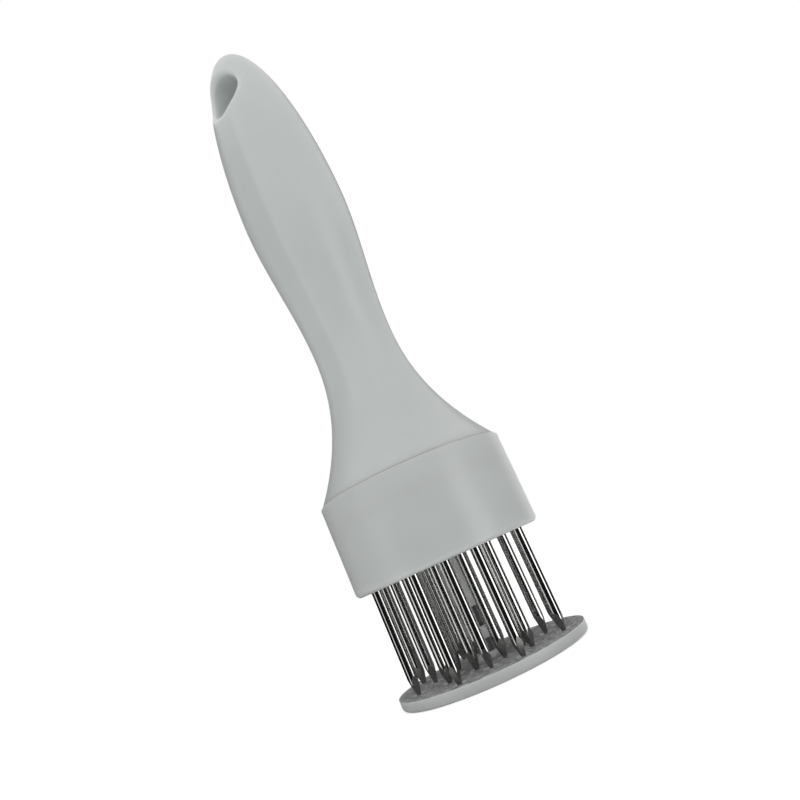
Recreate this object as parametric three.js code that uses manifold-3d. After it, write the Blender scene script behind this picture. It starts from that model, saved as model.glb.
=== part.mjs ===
// Blade meat tenderizer: a moulded handle with a hang hole, a collar that carries 24 ground needles, and a
// foot disc that slides up along the needles against a coil spring.
// Millimetres, +Z up. The origin is the middle of the foot's underside, with the tool standing on its foot.
// The hang hole runs along Y.
import * as THREE from 'three';
import { mergeVertices } from 'three/addons/utils/BufferGeometryUtils.js';
import Module from 'manifold-3d';

const wasm = await Module();
wasm.setup();

// Driving dimensions: overall
const overallHeight = 206;
const footThickness = 3;
const footTravel = 27.8;
const footStopGap = 0.4;

// Collar
const collarRadius = 27.2;
const collarHeight = 26.2;
const collarWall = 1.9;
const collarEdgeRadius = 1.4;
const collarMouthChamfer = 0.5;
const ledgeThickness = 2;
const ledgeWidth = 1.4;
const snapHeight = 1.8;
const snapDepth = 0.6;
const snapBelowRim = 7;

// Handle
const rimStep = 0.4;
const neckRadius = 12.2;
const neckAboveCollar = 41.6;
const gripRadius = 16;
const gripAboveCollar = 89.1;
const handleWall = 2.4;
const skirtWall = 2.4;
const panelStart = 18;
const panelFade = 20;
const panelEndAboveGrip = 39.2;
const ribThickness = 2;
const cavityTopAboveCollar = 28.5;
const springTubeWall = 2;
const springTubeEndGap = 2.5;
const coreRadius = 4.2;
const coreLength = 42;
const coreTipLength = 4;

// Hang hole
const hangRadius = 7.1;
const hangLip = 1;
const hangLipDepth = 5.1;
const hangBelowTop = 17.6;

// Needle pack
const needleRadius = 1.4;
const needleHeadRadius = 2;
const needleHeadHeight = 1;
const needlePointLength = 6.8;
const needlePointFlat = 0.12;
const needleTipHeight = 1;
const innerRing = 10.3;
const outerRingMargin = 2.75;
const packTurn = THREE.MathUtils.degToRad(-7.5);

// Plates
const needlePlateThickness = 4.5;
const clampPlateThickness = 3;
const headPocketDepth = 1.2;
const bossRadius = 4.6;
const bossHeight = 5.5;
const plateScrewInset = 0.7;
const plateScrewRadius = 1.1;
const plateScrewHeadRadius = 1.8;
const plateScrewHeadHeight = 1.5;
const plateScrewLength = 6.2;

// Foot, post and spring
const footRimMargin = 4.9;
const footEdgeRadius = 0.9;
const footTopChamfer = 0.3;
const stakeRadius = 2;
const stakeHeadRadius = 3.2;
const stakeHeadHeight = 1;
const stakeRecess = 0.3;
const postRadius = 2.6;
const postFlangeRadius = 4.4;
const postFlangeHeight = 1.8;
const pocketWidth = 3.6;
const pocketDepth = 1.9;
const lowerPocketHeight = 3.4;
const pocketRib = 3.4;
const upperPocketHeight = 5.6;
const pocketDimpleRadius = 0.5;
const pocketDimpleDepth = 0.4;
const washerRadius = 5.5;
const washerThickness = 1.2;
const retainerShankRadius = 1.4;
const retainerLength = 9;
const retainerHeadRadius = 3;
const retainerHeadHeight = 2;
const springWireRadius = 0.5;
const springMeanRadius = 4.9;
const springLength = 49;
const springTurns = 13;
const springEndPitch = 1.6;

// Clearances
const fitGap = 0.3;
const needleGap = 0.25;
const footHoleGap = 0.8;
const shankGap = 0.15;
const springSeatGap = 0.1;
const springTubeGap = 1;
const pilotSpare = 1;
const overrun = 1;

// Counts and shares
const ringCount = 3;
const needlesPerRing = 8;
const plateScrewCount = 4;
const ribCount = 4;
const handleSegments = 50;
const flareLevels = 10;
const bellyLevels = 6;
const domeLevels = 11;
const cavityLevels = 7;
const lipLevels = 3;
const ringSegments = 48;
const cavitySegments = 36;
const boreSegments = 24;
const holeSegments = 10;
const rodSegments = 10;
const hangSegments = 24;
const needleFacets = 4;
const edgeSteps = 4;
const wireSides = 5;
const wireSteps = 8;
const panelHalfSteps = 2;
const flareShare = 2.15;
const domeShare = 0.47;
const snapCrestShare = 1 / 3;
const screwCrownShare = 0.75;
const crossLengthShare = 1.1;
const crossWidthShare = 0.26;
const crossDepthShare = 0.9;
const mergeTolerance = 1e-5;
const angleTolerance = 1e-6;

// Heights worked out from the sizes above
const collarBottom = footThickness + footTravel + footStopGap;
const collarTop = collarBottom + collarHeight;
const collarInner = collarRadius - collarWall;
const plateRadius = collarInner - fitGap;
const needlePlateBottom = collarBottom + ledgeThickness;
const needlePlateTop = needlePlateBottom + needlePlateThickness;
const clampPlateTop = needlePlateTop + clampPlateThickness;
const bossTop = clampPlateTop + bossHeight;
const handleBottom = collarTop + fitGap;
const rimRadius = collarRadius - rimStep;
const neckHeight = collarTop + neckAboveCollar;
const gripHeight = collarTop + gripAboveCollar;
const postTop = bossTop + fitGap;
const washerTop = postTop + washerThickness;
const springBottom = washerTop + springSeatGap;
const springTop = springBottom + springLength;
const springSeat = springTop + springSeatGap;
const springTubeInner = washerRadius + springTubeGap;
const springTubeBottom = washerTop + retainerHeadHeight + springTubeEndGap;
const cavityTop = collarTop + cavityTopAboveCollar;
const snapMiddle = collarTop - snapBelowRim;
const snapCrest = snapHeight * snapCrestShare / 2;
const panelHalf = panelHalfSteps * 2 * Math.PI / handleSegments;
const hangHeight = overallHeight - hangBelowTop;
const footHoleRadius = needleRadius + footHoleGap;
const plateHoleRadius = needleRadius + needleGap;
const postBoreRadius = postRadius + fitGap;
const outerRing = plateRadius - outerRingMargin;
const footRadius = outerRing + footRimMargin;
const plateScrewRing = innerRing - plateScrewInset;

// The rings of needles are evenly spaced, and every second ring sits half a step away from its neighbours
function needlePlaces() {
  const places = [];
  const step = 2 * Math.PI / needlesPerRing;
  for (let ring = 0; ring < ringCount; ring += 1) {
    const radius = innerRing + (outerRing - innerRing) * ring / (ringCount - 1);
    const halfSteps = (ring + 1) % 2;
    for (let i = 0; i < needlesPerRing; i += 1) {
      const angle = packTurn + step * (i + halfSteps / 2);
      places.push({ x: radius * Math.cos(angle), y: radius * Math.sin(angle), angle });
    }
  }
  return places;
}

function plateScrewPlaces() {
  const places = [];
  for (let i = 0; i < plateScrewCount; i += 1) {
    const angle = packTurn + 2 * Math.PI * (i + 1 / 2) / plateScrewCount;
    places.push({ x: plateScrewRing * Math.cos(angle), y: plateScrewRing * Math.sin(angle), angle });
  }
  return places;
}

// Booleans: geometry to solid, and solid to geometry
function toSolid(geometry) {
  const plain = geometry.clone();
  plain.deleteAttribute('normal');
  plain.deleteAttribute('uv');
  const merged = mergeVertices(plain, mergeTolerance);
  const mesh = new wasm.Mesh({
    numProp: 3,
    vertProperties: new Float32Array(merged.attributes.position.array),
    triVerts: new Uint32Array(merged.index.array),
  });
  return new wasm.Manifold(mesh);
}

function toGeometry(solid) {
  const mesh = solid.getMesh();
  const geometry = new THREE.BufferGeometry();
  geometry.setAttribute('position', new THREE.BufferAttribute(new Float32Array(mesh.vertProperties), 3));
  geometry.setIndex(new THREE.BufferAttribute(new Uint32Array(mesh.triVerts), 1));
  geometry.computeVertexNormals();
  return geometry;
}

function subtractAll(geometry, cutters) {
  let solid = toSolid(geometry);
  for (const cutter of cutters) {
    solid = solid.subtract(toSolid(cutter));
  }
  return toGeometry(solid);
}

// A solid of revolution about Z from [radius, height] points that start and end on the axis or close
function revolve(points, segments) {
  const profile = points.map(([radius, height]) => new THREE.Vector2(radius, height));
  const geometry = new THREE.LatheGeometry(profile, segments);
  geometry.rotateX(Math.PI / 2);
  return geometry;
}

// An upright cylinder from one height to another at a place
function peg(radius, bottom, top, x = 0, y = 0, segments = holeSegments) {
  const geometry = new THREE.CylinderGeometry(radius, radius, top - bottom, segments);
  geometry.rotateX(Math.PI / 2);
  geometry.translate(x, y, (top + bottom) / 2);
  return geometry;
}

function box(width, depth, height, x, y, z) {
  const geometry = new THREE.BoxGeometry(width, depth, height);
  geometry.translate(x, y, z);
  return geometry;
}

// Points of a quarter round from one angle to another about a centre
function roundEdge(centreRadius, centreHeight, radius, fromAngle, toAngle, steps) {
  const points = [];
  for (let i = 0; i <= steps; i += 1) {
    const angle = fromAngle + (toAngle - fromAngle) * i / steps;
    points.push([centreRadius + radius * Math.cos(angle), centreHeight + radius * Math.sin(angle)]);
  }
  return points;
}

// Handle: radius of the round section at a height, in three stretches: flare, belly and dome
function handleRadius(height) {
  if (height <= neckHeight) {
    const left = Math.min(1, (neckHeight - height) / (neckHeight - handleBottom));
    return neckRadius + (rimRadius - neckRadius) * Math.pow(left, flareShare);
  }
  if (height <= gripHeight) {
    const swell = THREE.MathUtils.smoothstep(height, neckHeight, gripHeight);
    return neckRadius + (gripRadius - neckRadius) * swell;
  }
  const along = Math.min(1, (height - gripHeight) / (overallHeight - gripHeight));
  return gripRadius * Math.pow(1 - along * along, domeShare);
}

// How much of the flat panel shows at a height: none on the flare, all on the grip, none above the hole
function panelAmount(height) {
  const start = collarTop + panelStart;
  const end = gripHeight + panelEndAboveGrip;
  const rise = THREE.MathUtils.smoothstep(height, start, start + panelFade);
  const fall = 1 - THREE.MathUtils.smoothstep(height, end, end + panelFade / 2);
  return rise * fall;
}

function handleLevels() {
  const levels = [];
  for (let i = 0; i < flareLevels; i += 1) {
    levels.push(handleBottom + (neckHeight - handleBottom) * i / flareLevels);
  }
  for (let i = 0; i < bellyLevels; i += 1) {
    levels.push(neckHeight + (gripHeight - neckHeight) * i / bellyLevels);
  }
  for (let i = 0; i < domeLevels; i += 1) {
    const along = Math.sin(Math.PI / 2 * i / domeLevels);
    levels.push(gripHeight + (overallHeight - gripHeight) * along);
  }
  return levels;
}

// One ring of the handle: round, with a flat panel across the front and the back
function handleRing(height) {
  const radius = handleRadius(height);
  const panel = panelAmount(height);
  const ring = [];
  for (let i = 0; i < handleSegments; i += 1) {
    const angle = 2 * Math.PI * (i + 1 / 2) / handleSegments;
    const fromFace = Math.asin(Math.abs(Math.cos(angle)));
    const onPanel = fromFace < panelHalf + angleTolerance;
    const flat = onPanel ? radius * Math.cos(panelHalf) / Math.cos(fromFace) : radius;
    const reach = radius + (flat - radius) * panel;
    ring.push([reach * Math.cos(angle), reach * Math.sin(angle), height]);
  }
  return ring;
}

// A closed skin over rings of the same number of points, with a fan to the middle at both ends
function skin(ringList, bottomPoint, topPoint) {
  const count = ringList[0].length;
  const vertices = ringList.flat();
  const bottomIndex = vertices.push(bottomPoint) - 1;
  const topIndex = vertices.push(topPoint) - 1;
  const faces = [];
  for (let level = 0; level < ringList.length - 1; level += 1) {
    for (let i = 0; i < count; i += 1) {
      const a = level * count + i;
      const b = level * count + (i + 1) % count;
      faces.push(a, b, b + count);
      faces.push(a, b + count, a + count);
    }
  }
  const last = (ringList.length - 1) * count;
  for (let i = 0; i < count; i += 1) {
    const next = (i + 1) % count;
    faces.push(bottomIndex, next, i);
    faces.push(topIndex, last + i, last + next);
  }
  const geometry = new THREE.BufferGeometry();
  geometry.setAttribute('position', new THREE.BufferAttribute(new Float32Array(vertices.flat()), 3));
  geometry.setIndex(faces);
  return geometry;
}

function handleOuter() {
  const ringList = handleLevels().map(handleRing);
  return skin(ringList, [0, 0, handleBottom], [0, 0, overallHeight]);
}

// The skirt goes down inside the collar to the clamp plate and carries a snap bead
function handleSkirt() {
  const outer = plateRadius;
  const bead = outer + snapDepth;
  return revolve([
    [0, clampPlateTop],
    [outer, clampPlateTop],
    [outer, snapMiddle - snapHeight / 2],
    [bead, snapMiddle - snapCrest],
    [bead, snapMiddle + snapCrest],
    [outer, snapMiddle + snapHeight / 2],
    [outer, handleBottom + overrun],
    [0, handleBottom + overrun],
  ], ringSegments);
}

// The hollow inside the skirt and flare, round the spring tube
function handleCavity() {
  const skirtInner = plateRadius - skirtWall;
  const tubeOuter = springTubeInner + springTubeWall;
  const points = [
    [0, clampPlateTop - overrun],
    [skirtInner, clampPlateTop - overrun],
  ];
  for (let i = 0; i <= cavityLevels; i += 1) {
    const height = handleBottom + (cavityTop - handleBottom) * i / cavityLevels;
    points.push([Math.min(skirtInner, handleRadius(height) - handleWall), height]);
  }
  points.push([tubeOuter, cavityTop]);
  points.push([tubeOuter, springTubeBottom]);
  points.push([0, springTubeBottom]);
  return revolve(points, cavitySegments);
}

function handleRibs() {
  const ribs = [];
  const height = cavityTop - springTubeBottom;
  for (let i = 0; i < ribCount; i += 1) {
    const rib = box(collarRadius, ribThickness, height + overrun, collarRadius / 2, 0, 0);
    rib.translate(0, 0, springTubeBottom + (height + overrun) / 2);
    rib.rotateZ(2 * Math.PI * (i + 1 / 2) / ribCount);
    ribs.push(rib);
  }
  return ribs;
}

// The spring's well with its seat, and the narrower core above it that lightens the grip
function handleWell() {
  const coreTop = springSeat + coreLength;
  return revolve([
    [0, springTubeBottom - overrun],
    [springTubeInner, springTubeBottom - overrun],
    [springTubeInner, springSeat],
    [coreRadius, springSeat],
    [coreRadius, coreTop - coreTipLength],
    [0, coreTop],
  ], boreSegments);
}

// How far the front or back face stands from the middle, beside its centre line and at a height
function faceReach(beside, height) {
  const radius = handleRadius(height);
  const round = Math.sqrt(Math.max(0, radius * radius - beside * beside));
  const proud = Math.max(0, round - radius * Math.cos(panelHalf));
  return round - panelAmount(height) * proud;
}

// The hang hole along Y: a round hole whose lip follows both faces and narrows towards the wall in an arc
function hangRing(side, reach, depth) {
  const ring = [];
  for (let i = 0; i < hangSegments; i += 1) {
    const angle = 2 * Math.PI * i / hangSegments;
    const beside = reach * Math.cos(angle);
    const height = hangHeight + reach * Math.sin(angle);
    ring.push([beside, side * (faceReach(beside, height) - depth), height]);
  }
  return ring;
}

function hangHole() {
  const back = [hangRing(1, hangRadius + hangLip, -gripRadius)];
  const front = [hangRing(-1, hangRadius + hangLip, -gripRadius)];
  for (let i = 0; i <= lipLevels; i += 1) {
    const turn = Math.PI / 2 * i / lipLevels;
    const reach = hangRadius + hangLip * (1 - Math.sin(turn));
    const depth = hangLipDepth * (1 - Math.cos(turn));
    back.push(hangRing(1, reach, depth));
    front.unshift(hangRing(-1, reach, depth));
  }
  const start = [0, 2 * gripRadius, hangHeight];
  const end = [0, -2 * gripRadius, hangHeight];
  return skin([...back, ...front], start, end);
}

function handle() {
  let cavity = toSolid(handleCavity());
  for (const rib of handleRibs()) {
    cavity = cavity.subtract(toSolid(rib));
  }
  const body = toSolid(handleOuter()).add(toSolid(handleSkirt()));
  const hollow = body.subtract(cavity).subtract(toSolid(handleWell()));
  return toGeometry(hollow.subtract(toSolid(hangHole())));
}

// Collar: a ring with a ledge for the needle plate and a groove for the handle's snap bead
function collar() {
  const ledgeInner = collarInner - ledgeWidth;
  const groove = collarInner + snapDepth;
  const bottomRound = roundEdge(
    collarRadius - collarEdgeRadius,
    collarBottom + collarEdgeRadius,
    collarEdgeRadius,
    -Math.PI / 2,
    0,
    edgeSteps,
  );
  return revolve([
    [ledgeInner, collarBottom + collarMouthChamfer],
    [ledgeInner + collarMouthChamfer, collarBottom],
    ...bottomRound,
    [collarRadius, collarTop],
    [collarInner, collarTop],
    [collarInner, snapMiddle + snapHeight / 2 + fitGap],
    [groove, snapMiddle + snapCrest + fitGap],
    [groove, snapMiddle - snapCrest - fitGap],
    [collarInner, snapMiddle - snapHeight / 2 - fitGap],
    [collarInner, needlePlateBottom],
    [ledgeInner, needlePlateBottom],
    [ledgeInner, collarBottom + collarMouthChamfer],
  ], ringSegments);
}

// Needle plate: drilled for every needle, with a pocket for each head and a hole for the post
function needlePlate() {
  const plate = peg(plateRadius, needlePlateBottom, needlePlateTop, 0, 0, ringSegments);
  const below = needlePlateBottom - overrun;
  const above = needlePlateTop + overrun;
  const pocketBottom = needlePlateTop - headPocketDepth;
  const cutters = [peg(postBoreRadius, below, above, 0, 0, boreSegments)];
  for (const place of needlePlaces()) {
    cutters.push(peg(plateHoleRadius, below, above, place.x, place.y));
    cutters.push(peg(needleHeadRadius + needleGap, pocketBottom, above, place.x, place.y));
  }
  const screwBottom = clampPlateTop - plateScrewLength - shankGap;
  for (const place of plateScrewPlaces()) {
    cutters.push(peg(plateScrewRadius + shankGap, screwBottom, above, place.x, place.y));
  }
  return subtractAll(plate, cutters);
}

// Clamp plate: lies on the needle plate over the heads, and its boss guides the post
function clampPlate() {
  const plate = revolve([
    [0, needlePlateTop],
    [plateRadius, needlePlateTop],
    [plateRadius, clampPlateTop],
    [bossRadius, clampPlateTop],
    [bossRadius, bossTop],
    [0, bossTop],
  ], ringSegments);
  const cutters = [peg(postBoreRadius, needlePlateTop - overrun, bossTop + overrun, 0, 0, boreSegments)];
  for (const place of plateScrewPlaces()) {
    const radius = plateScrewRadius + shankGap;
    cutters.push(peg(radius, needlePlateTop - overrun, clampPlateTop + overrun, place.x, place.y));
  }
  return subtractAll(plate, cutters);
}

// A needle: a headed rod whose end is ground on four sides to a narrow point
function needle() {
  const seat = needlePlateTop - headPocketDepth;
  const rod = toSolid(peg(needleRadius, needleTipHeight, seat + needleHeadHeight / 2, 0, 0, rodSegments));
  const head = toSolid(peg(needleHeadRadius, seat, seat + needleHeadHeight, 0, 0, rodSegments));
  const grindHeight = seat + needleHeadHeight + overrun - needleTipHeight;
  const slope = (needleRadius - needlePointFlat) / needlePointLength;
  const corner = 1 / Math.cos(Math.PI / needleFacets);
  const wide = (needlePointFlat + slope * grindHeight) * corner;
  const grind = new THREE.CylinderGeometry(wide, needlePointFlat * corner, grindHeight, needleFacets);
  grind.rotateX(Math.PI / 2);
  grind.rotateZ(Math.PI / needleFacets);
  grind.translate(0, 0, needleTipHeight + grindHeight / 2);
  return toGeometry(rod.add(head).intersect(toSolid(grind)));
}

// A pan-head screw with a cross recess, head up, its head's underside at height zero
function panScrew(shankRadius, length, headRadius, headHeight) {
  const screw = revolve([
    [0, -length],
    [shankRadius, -length + shankRadius],
    [shankRadius, 0],
    [headRadius, 0],
    [headRadius, headHeight / 2],
    [headRadius * screwCrownShare, headHeight],
    [0, headHeight],
  ], rodSegments);
  const slotLength = headRadius * crossLengthShare;
  const slotWidth = headRadius * crossWidthShare;
  const slotDepth = headHeight * crossDepthShare;
  const slots = [
    box(slotLength, slotWidth, slotDepth, 0, 0, headHeight),
    box(slotWidth, slotLength, slotDepth, 0, 0, headHeight),
  ];
  return subtractAll(screw, slots);
}

// Foot disc: a hole for every needle, and a stepped hole for the post's staked end
function footDisc() {
  const lowerRound = roundEdge(
    footRadius - footEdgeRadius,
    footEdgeRadius,
    footEdgeRadius,
    -Math.PI / 2,
    0,
    edgeSteps,
  );
  const disc = revolve([
    [0, 0],
    ...lowerRound,
    [footRadius, footThickness - footTopChamfer],
    [footRadius - footTopChamfer, footThickness],
    [0, footThickness],
  ], ringSegments);
  const stakeSeat = stakeRecess + stakeHeadHeight;
  const cutters = [
    peg(stakeRadius + fitGap, -overrun, footThickness + overrun, 0, 0, boreSegments),
    peg(stakeHeadRadius + fitGap, -overrun, stakeSeat, 0, 0, boreSegments),
  ];
  for (const place of needlePlaces()) {
    cutters.push(peg(footHoleRadius, -overrun, footThickness + overrun, place.x, place.y));
  }
  return subtractAll(disc, cutters);
}

// Guide post: flange and staked end at the foot, cored pockets on two sides, screw hole in its top
function guidePost() {
  const flangeTop = footThickness + postFlangeHeight;
  const stakeSeat = stakeRecess + stakeHeadHeight;
  const post = revolve([
    [0, stakeRecess],
    [stakeHeadRadius, stakeRecess],
    [stakeHeadRadius, stakeSeat],
    [stakeRadius, stakeSeat],
    [stakeRadius, footThickness],
    [postFlangeRadius, footThickness],
    [postFlangeRadius, flangeTop],
    [postRadius, flangeTop],
    [postRadius, postTop],
    [0, postTop],
  ], boreSegments);
  const lowerMiddle = flangeTop + lowerPocketHeight / 2;
  const upperMiddle = flangeTop + lowerPocketHeight + pocketRib + upperPocketHeight / 2;
  const cutters = [];
  const facing = packTurn + Math.PI / needlesPerRing * 2;
  for (const side of [-1, 1]) {
    const reach = side * (postRadius - pocketDepth / 2 + overrun / 2);
    const depth = pocketDepth + overrun;
    const lower = box(pocketWidth, depth, lowerPocketHeight, 0, reach, lowerMiddle);
    const upper = box(pocketWidth, depth, upperPocketHeight, 0, reach, upperMiddle);
    const dimple = peg(pocketDimpleRadius, -pocketDimpleDepth, pocketDimpleDepth);
    dimple.rotateX(Math.PI / 2);
    dimple.translate(0, side * (postRadius - pocketDepth), upperMiddle);
    for (const cutter of [lower, upper, dimple]) {
      cutter.rotateZ(facing);
      cutters.push(cutter);
    }
  }
  const pilotBottom = washerTop - retainerLength - pilotSpare;
  cutters.push(peg(retainerShankRadius + shankGap, pilotBottom, postTop + overrun));
  return subtractAll(post, cutters);
}

function springWasher() {
  const hole = retainerShankRadius + fitGap;
  return revolve([
    [hole, postTop],
    [washerRadius, postTop],
    [washerRadius, washerTop],
    [hole, washerTop],
    [hole, postTop],
  ], boreSegments);
}

// Return spring: one unbroken wire; the first and last turn lie closer than the turns between
function springPoint(turn) {
  const endRise = springEndPitch;
  const length = springLength - 2 * springWireRadius;
  const openPitch = (length - 2 * endRise) / (springTurns - 2);
  const low = Math.min(turn, 1);
  const high = Math.max(0, turn - (springTurns - 1));
  const open = turn - low - high;
  const angle = 2 * Math.PI * turn;
  const height = springBottom + springWireRadius + (low + high) * endRise + open * openPitch;
  return new THREE.Vector3(springMeanRadius * Math.cos(angle), springMeanRadius * Math.sin(angle), height);
}

function returnSpring() {
  const ringList = [];
  const steps = springTurns * wireSteps;
  for (let i = 0; i <= steps; i += 1) {
    const centre = springPoint(i / wireSteps);
    const angle = 2 * Math.PI * i / wireSteps;
    const ring = [];
    for (let side = 0; side < wireSides; side += 1) {
      const around = 2 * Math.PI * side / wireSides;
      const outward = springWireRadius * Math.cos(around);
      const upward = springWireRadius * Math.sin(around);
      ring.push([
        centre.x - outward * Math.cos(angle),
        centre.y - outward * Math.sin(angle),
        centre.z + upward,
      ]);
    }
    ringList.push(ring);
  }
  return skin(ringList, springPoint(0).toArray(), springPoint(springTurns).toArray());
}

// The least gap from turn to turn, measured on points along the wire's middle line
function leastSpringGap() {
  let least = Infinity;
  const steps = springTurns * wireSteps;
  for (let i = 0; i <= steps; i += 1) {
    for (let j = i + wireSteps / 2; j <= steps; j += 1) {
      const distance = springPoint(i / wireSteps).distanceTo(springPoint(j / wireSteps));
      least = Math.min(least, distance - 2 * springWireRadius);
    }
  }
  return least;
}

console.log('least gap between the spring turns in mm:', leastSpringGap().toFixed(2));

// Assembly
const plasticColour = 0xb9bfbb;
const innerPlasticColour = 0xa9afac;
const steelColour = 0xc4c6c8;

function plastic(colour) {
  return new THREE.MeshStandardMaterial({ color: colour, roughness: 0.4, metalness: 0 });
}

function steel() {
  return new THREE.MeshStandardMaterial({ color: steelColour, roughness: 0.2, metalness: 1 });
}

function addPiece(group, name, geometry, material) {
  const mesh = new THREE.Mesh(geometry, material);
  mesh.name = name;
  group.add(mesh);
  return mesh;
}

function tenderizer() {
  const tool = new THREE.Group();
  addPiece(tool, 'handle', handle(), plastic(plasticColour));
  addPiece(tool, 'collar', collar(), plastic(plasticColour));
  addPiece(tool, 'needle_plate', needlePlate(), plastic(innerPlasticColour));
  addPiece(tool, 'clamp_plate', clampPlate(), plastic(innerPlasticColour));
  needlePlaces().forEach((place, index) => {
    const name = `needle_${String(index + 1).padStart(2, '0')}`;
    const mesh = addPiece(tool, name, needle(), steel());
    mesh.position.set(place.x, place.y, 0);
    mesh.rotation.z = place.angle;
  });
  plateScrewPlaces().forEach((place, index) => {
    const screw = panScrew(plateScrewRadius, plateScrewLength, plateScrewHeadRadius, plateScrewHeadHeight);
    const mesh = addPiece(tool, `plate_screw_${index + 1}`, screw, steel());
    mesh.position.set(place.x, place.y, clampPlateTop);
    mesh.rotation.z = place.angle;
  });
  addPiece(tool, 'foot_disc', footDisc(), plastic(plasticColour));
  addPiece(tool, 'guide_post', guidePost(), plastic(plasticColour));
  addPiece(tool, 'spring_washer', springWasher(), steel());
  const retainer = panScrew(retainerShankRadius, retainerLength, retainerHeadRadius, retainerHeadHeight);
  addPiece(tool, 'retainer_screw', retainer, steel()).position.set(0, 0, washerTop);
  addPiece(tool, 'return_spring', returnSpring(), steel());
  return tool;
}

export default tenderizer();
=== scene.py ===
"""A hand-held needle meat tenderizer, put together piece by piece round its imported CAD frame.

The tool stands upright on its foot, in metres, +Z up along the handle. The hang hole runs along Y.
"""

import math

import bmesh
import bpy
from mathutils import Matrix, Vector


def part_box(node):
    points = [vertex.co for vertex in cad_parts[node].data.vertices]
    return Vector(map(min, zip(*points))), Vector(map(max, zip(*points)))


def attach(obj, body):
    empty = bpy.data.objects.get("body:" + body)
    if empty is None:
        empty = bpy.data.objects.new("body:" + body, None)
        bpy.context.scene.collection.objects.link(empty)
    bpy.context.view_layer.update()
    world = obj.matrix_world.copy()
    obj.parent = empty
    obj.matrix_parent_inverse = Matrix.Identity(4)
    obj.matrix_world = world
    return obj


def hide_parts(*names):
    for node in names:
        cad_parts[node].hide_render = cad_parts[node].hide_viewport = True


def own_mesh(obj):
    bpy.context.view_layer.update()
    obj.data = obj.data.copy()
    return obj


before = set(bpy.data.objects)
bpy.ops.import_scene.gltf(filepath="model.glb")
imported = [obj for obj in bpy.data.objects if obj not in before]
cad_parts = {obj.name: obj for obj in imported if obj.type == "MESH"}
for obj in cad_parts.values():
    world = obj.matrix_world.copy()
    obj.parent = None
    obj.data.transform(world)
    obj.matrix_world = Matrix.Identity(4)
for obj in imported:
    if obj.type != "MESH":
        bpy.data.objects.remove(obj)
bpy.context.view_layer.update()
mm = 0.001


# Foot disc
# A flat moulded disc of light grey plastic, as wide as the collar, that lies on the meat. It is drilled
# through for every needle, its rims are rounded, and the guide post is staked into its middle. Its top is
# scored, and painted darker in blotches for the shade and dark reflections of the needles and collar.
weld_gap = 0.001 * mm
crease_angle = math.radians(35)


def pick(*pieces):
    """Only these objects are selected, and the last of them is active."""
    bpy.ops.object.select_all(action="DESELECT")
    for piece in pieces:
        piece.select_set(True)
    bpy.context.view_layer.objects.active = pieces[-1]


def pulled(name, rings, sides=96):
    """A round solid drawn out from (radius, height) pairs: a circle is extruded and resized to each.

    It gets a face at both ends, unless the last pair is the first again and so closes a ring.
    """
    bpy.ops.object.select_all(action="DESELECT")
    radius, height = rings[0]
    bpy.ops.mesh.primitive_circle_add(vertices=sides, radius=radius, location=(0, 0, height))
    piece = bpy.context.object
    piece.name = name
    bpy.ops.object.transform_apply(location=True, rotation=True, scale=True)
    bpy.ops.object.mode_set(mode="EDIT")
    closed = rings[0] == rings[-1]
    if not closed:
        bpy.ops.mesh.edge_face_add()
        bpy.ops.mesh.select_mode(type="EDGE")
        bpy.ops.mesh.select_all(action="SELECT")
    for new_radius, new_height in rings[1:]:
        rise = (0, 0, new_height - height)
        bpy.ops.mesh.extrude_edges_move(TRANSFORM_OT_translate={"value": rise})
        wider = new_radius / radius
        bpy.ops.transform.resize(value=(wider, wider, 1), center_override=(0, 0, new_height))
        radius, height = new_radius, new_height
    if not closed:
        bpy.ops.mesh.edge_face_add()
    bpy.ops.mesh.select_all(action="SELECT")
    bpy.ops.mesh.remove_doubles(threshold=weld_gap)
    bpy.ops.mesh.normals_make_consistent(inside=False)
    bpy.ops.object.mode_set(mode="OBJECT")
    return piece


def apply(piece, kind, **settings):
    """Adds a modifier with these settings and applies it to the mesh."""
    modifier = piece.modifiers.new(kind.title(), kind)
    for setting, value in settings.items():
        setattr(modifier, setting, value)
    pick(piece)
    bpy.ops.object.modifier_apply(modifier=modifier.name)


def cut(piece, cutters):
    """Takes the cutters out of the piece and removes them."""
    pick(*cutters)
    if len(cutters) > 1:
        bpy.ops.object.join()
    tool = bpy.context.object
    apply(piece, "BOOLEAN", object=tool, operation="DIFFERENCE", solver="EXACT")
    bpy.data.objects.remove(tool)


def drill(radius, bottom, top, x=0, y=0, sides=32):
    """A round upright cutter between two heights."""
    bpy.ops.object.select_all(action="DESELECT")
    place = (x, y, (bottom + top) / 2)
    bpy.ops.mesh.primitive_cylinder_add(vertices=sides, radius=radius, depth=top - bottom, location=place)
    bpy.ops.object.transform_apply(location=True, rotation=True, scale=True)
    return bpy.context.object


def soften(piece, width, segments=3, angle=30):
    """Rounds every edge that turns more than the angle, and shades the piece smooth between them."""
    apply(piece, "BEVEL", width=width, segments=segments, limit_method="ANGLE",
          angle_limit=math.radians(angle), use_clamp_overlap=True)
    pick(piece)
    bpy.ops.object.shade_smooth_by_angle(angle=crease_angle)


def needle_axis(node):
    """Where a needle's axis stands: the middle of the CAD needle's ground end."""
    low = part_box(node)[0].z
    corners = {
        (round(v.co.x, 7), round(v.co.y, 7))
        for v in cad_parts[node].data.vertices
        if v.co.z < low + weld_gap
    }
    return sum(x for x, y in corners) / len(corners), sum(y for x, y in corners) / len(corners)


needle_nodes = sorted(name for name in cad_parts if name.startswith("needle_") and name[-1].isdigit())
needle_places = {node: needle_axis(node) for node in needle_nodes}

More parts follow.
